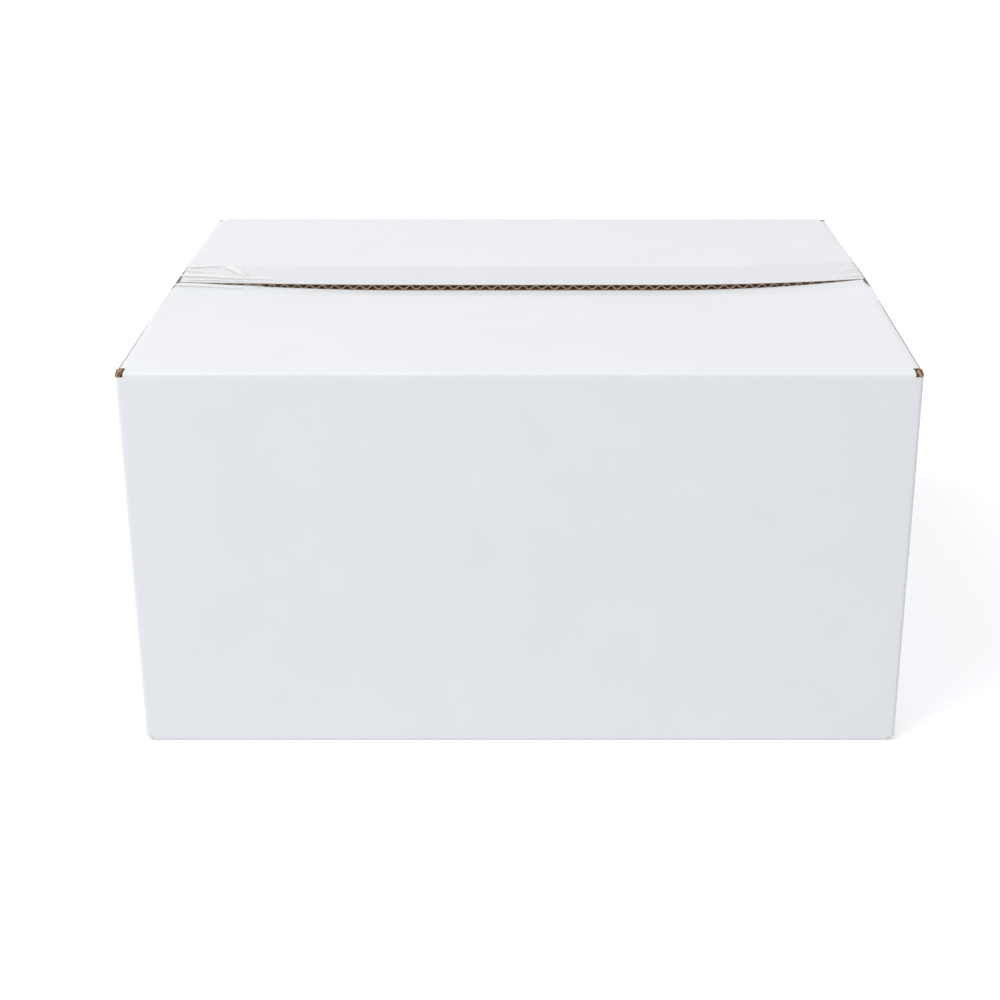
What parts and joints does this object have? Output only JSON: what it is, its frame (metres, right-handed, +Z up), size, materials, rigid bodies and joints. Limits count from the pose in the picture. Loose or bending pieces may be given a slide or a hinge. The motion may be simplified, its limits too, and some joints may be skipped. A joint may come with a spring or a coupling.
{
  "type": "corrugated shipping carton",
  "caption": "White corrugated slotted carton, closed flat, its meeting outer flaps held by clear film tape over the top and bottom seams.",
  "frame": {"origin": "under the middle of the base, on the surface that the carton stands on", "axes": "+X along the length to the right, +Y across the width to the back, +Z up"},
  "size_m": [0.3504, 0.29, 0.1837],
  "materials": {
    "white_board": "matt white paper on single-wall corrugated board",
    "kraft_board": "raw brown fluting and inner liner",
    "clear_film": "clear polypropylene packing tape, glossy"
  },
  "bodies": {
    "root": {"carton": "white_board", "top_tape": "clear_film", "bottom_tape": "clear_film"}
  },
  "joints": []
}
